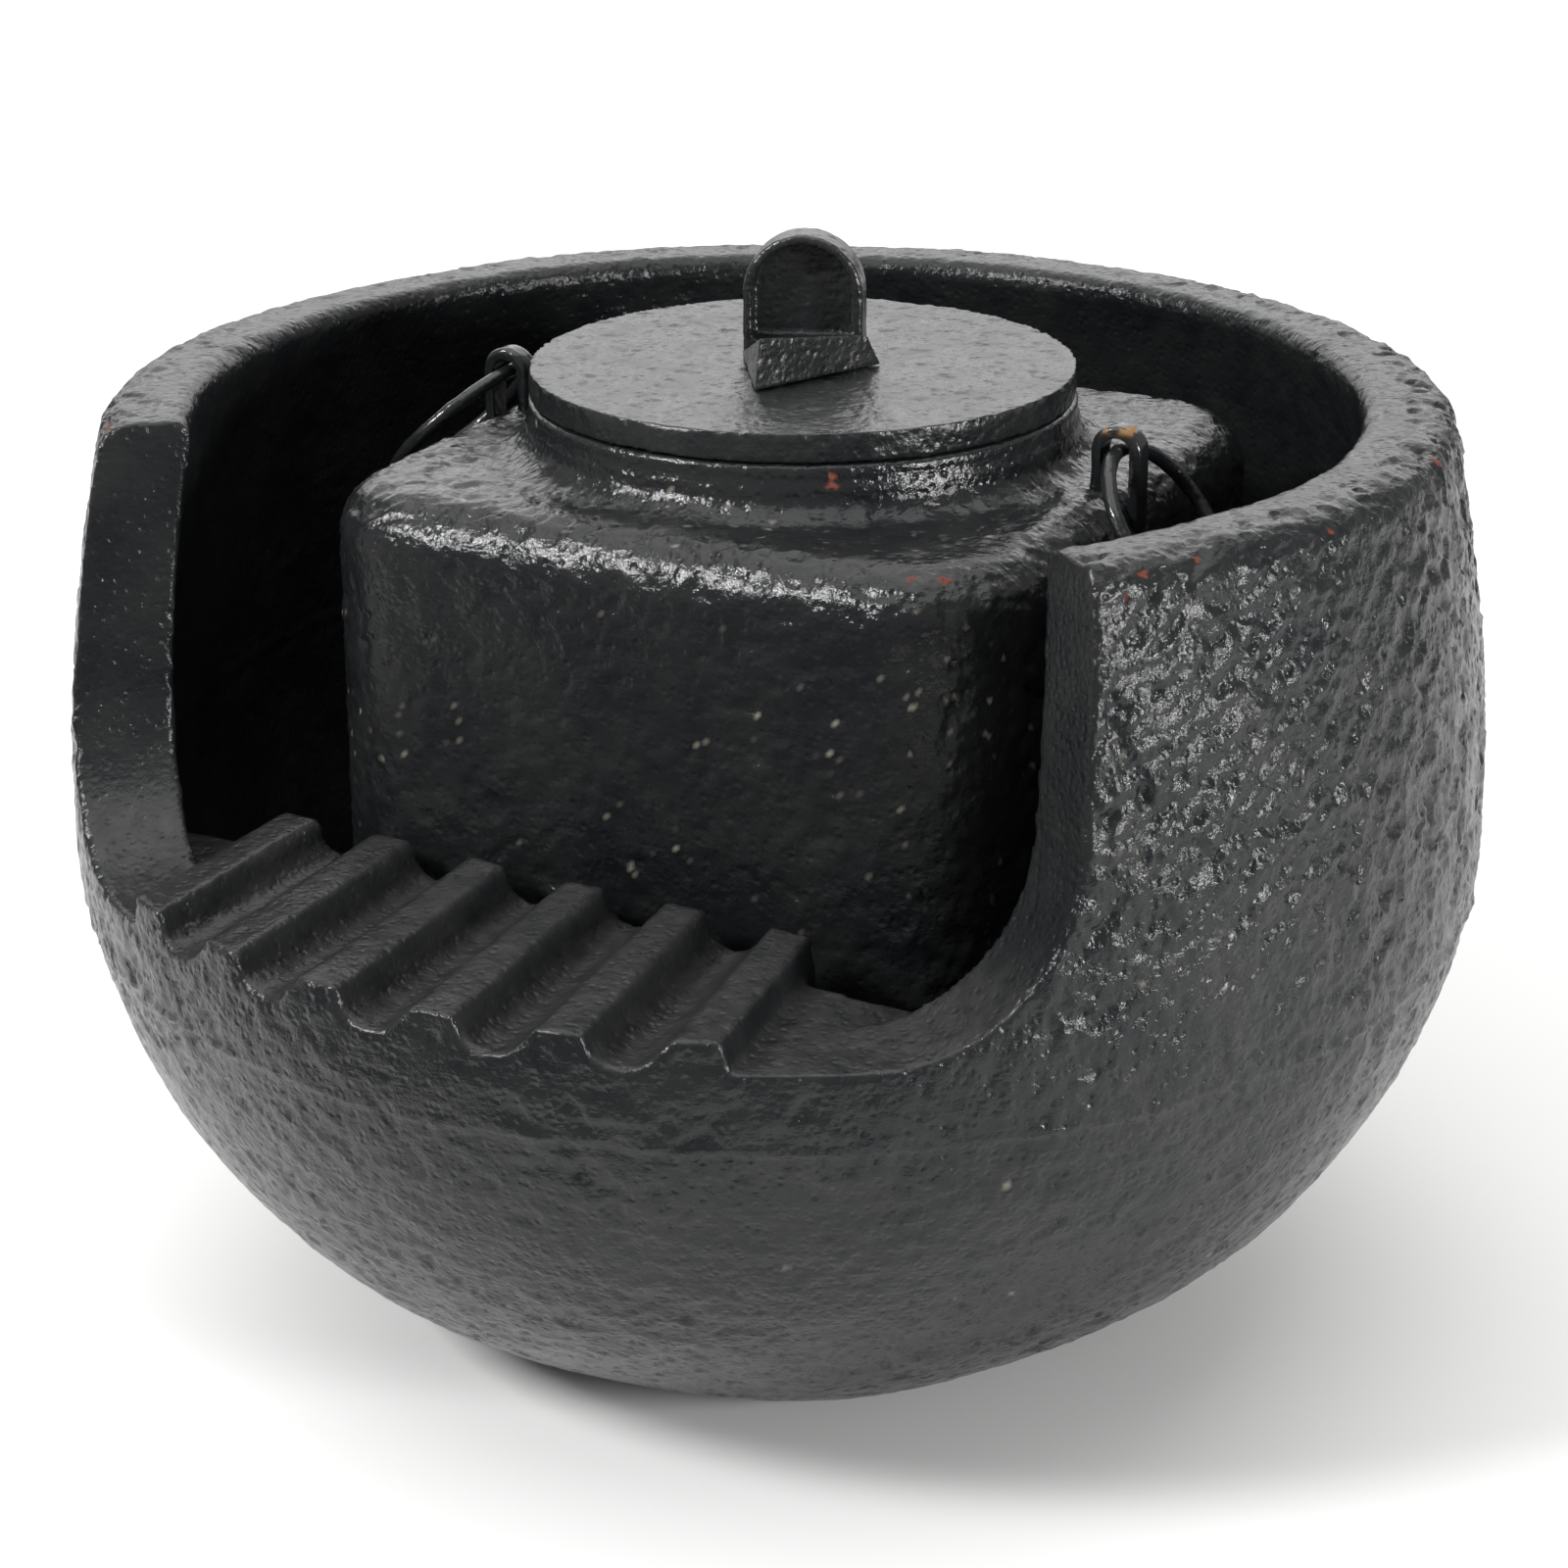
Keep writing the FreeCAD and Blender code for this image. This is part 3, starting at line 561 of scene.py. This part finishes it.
def softBox(name, place, target, width, height, radiance):
    light = bpy.data.lights.new(name, "AREA")
    light.shape = "RECTANGLE"
    light.size = width
    light.size_y = height
    light.energy = radiance * math.pi * width * height
    box = bpy.data.objects.new(name, light)
    box.location = place
    box.rotation_euler = (Vector(target) - Vector(place)).to_track_quat("-Z", "Y").to_euler()
    box.visible_camera = False
    scene.collection.objects.link(box)


def paintedReflectionCard():
    # a dark sheet lying before the bowl, hidden from the camera, from diffuse light and from shadows, so it shows
    # only as a painted dark reflection in the front of the paint
    work = bmesh.new()
    bmesh.ops.create_grid(work, x_segments=2, y_segments=2, size=0.5)
    card = linked("paintedReflectionCard", work)
    material, tree, shader = newMaterial("paintedDarkReflection")
    # the colour of the painted dark reflection
    reflectionTone = rampNode(tree, noiseNode(tree, 40.0, 2.0), [(0.3, (0.030, 0.030, 0.032)), (0.7, (0.045, 0.045, 0.047))])
    tree.links.new(reflectionTone, shader.inputs["Base Color"])
    shader.inputs["Roughness"].default_value = 0.95
    card.data.materials.append(material)
    card.scale = (*studio["cardSize"], 1.0)
    card.location = studio["cardPlace"]
    for ray in ("camera", "diffuse", "transmission", "volume_scatter", "shadow"):
        setattr(card, "visible_" + ray, False)


studioFloor()
world = bpy.data.worlds.new("studioWorld")
world.use_nodes = True
world.node_tree.nodes["Background"].inputs["Color"].default_value = (1.0, 1.0, 1.0, 1.0)
world.node_tree.nodes["Background"].inputs["Strength"].default_value = studio["worldLight"]
scene.world = world
middle = (0.0, 0.0, 0.15)
softBox("backPanel", (-0.95, 1.75, 1.15), middle, 3.2, 1.5, 1.6)
softBox("topPanel", (-0.1, 0.0, 2.2), middle, 2.6, 2.6, 1.75)
softBox("rightWindow", (1.45, -0.26, 0.44), middle, 0.22, 0.32, 85.0)
softBox("leftWindow", (-0.88, -1.20, 1.25), middle, 0.40, 0.40, 62.0)
paintedReflectionCard()

view = {
    "azimuth": 27.5,
    "elevation": 21.11,
    "roll": -0.31,
    "distance": 0.834,
    "lens": 82.4,
    "aimHeight": 0.119,
    "aimRight": 0.0011,
}


def makeCamera():
    a, e, r = (math.radians(view[k]) for k in ("azimuth", "elevation", "roll"))
    back = Vector((math.sin(a) * math.cos(e), -math.cos(a) * math.cos(e), math.sin(e)))
    right = Vector((math.cos(a), math.sin(a), 0.0))
    up = back.cross(right)
    turnedRight = right * math.cos(r) + up * math.sin(r)
    turnedUp = up * math.cos(r) - right * math.sin(r)
    place = right * view["aimRight"] + Vector((0, 0, view["aimHeight"])) + back * view["distance"]
    data = bpy.data.cameras.new("studioCamera")
    data.lens = view["lens"]
    data.sensor_width = 36.0
    data.clip_start = 0.01
    camera = bpy.data.objects.new("studioCamera", data)
    camera.matrix_world = Matrix.Translation(place) @ Matrix((turnedRight, turnedUp, back)).transposed().to_4x4()
    scene.collection.objects.link(camera)
    scene.camera = camera


makeCamera()
print("studio ready")
